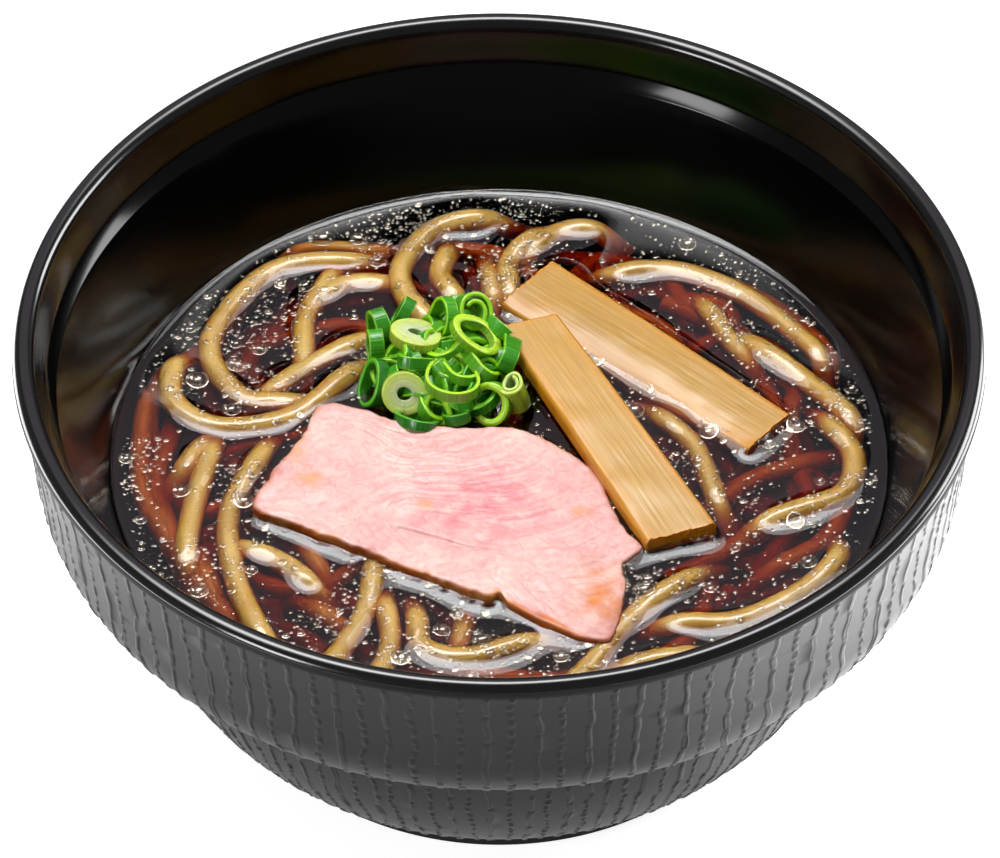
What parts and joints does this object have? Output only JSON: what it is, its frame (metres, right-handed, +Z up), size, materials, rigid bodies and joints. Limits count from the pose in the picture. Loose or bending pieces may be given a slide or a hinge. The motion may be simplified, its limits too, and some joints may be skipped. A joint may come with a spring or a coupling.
{
  "type": "ramen bowl",
  "caption": "Soy broth ramen in a round two-tier black bowl with noodles, roast pork, bamboo shoot strips and sliced spring onion.",
  "frame": {"origin": "middle of the underside of the bowl's foot ring, on the surface it stands on", "axes": "+Z up through the middle of the bowl; the bamboo shoot strips lie towards +X and the spring onion towards +Y"},
  "size_m": [0.1898, 0.1898, 0.0878],
  "materials": {
    "bowl": "satin black resin, smooth at the lip and inside, with wood-grain relief on both outer tiers",
    "broth": "clear dark soy broth with drops of oil",
    "noodles": "wet wheat noodles",
    "pork": "pink roast pork, moist, with a seared edge",
    "menma": "seasoned bamboo shoot, moist, with lengthwise fibres",
    "spring_onion": "fresh cut spring onion"
  },
  "bodies": {
    "root": {"bowl": "bowl", "broth": "broth", "noodles": "noodles", "pork": "pork", "menma_front": "menma", "menma_back": "menma", "spring_onion": "spring_onion"}
  },
  "joints": []
}
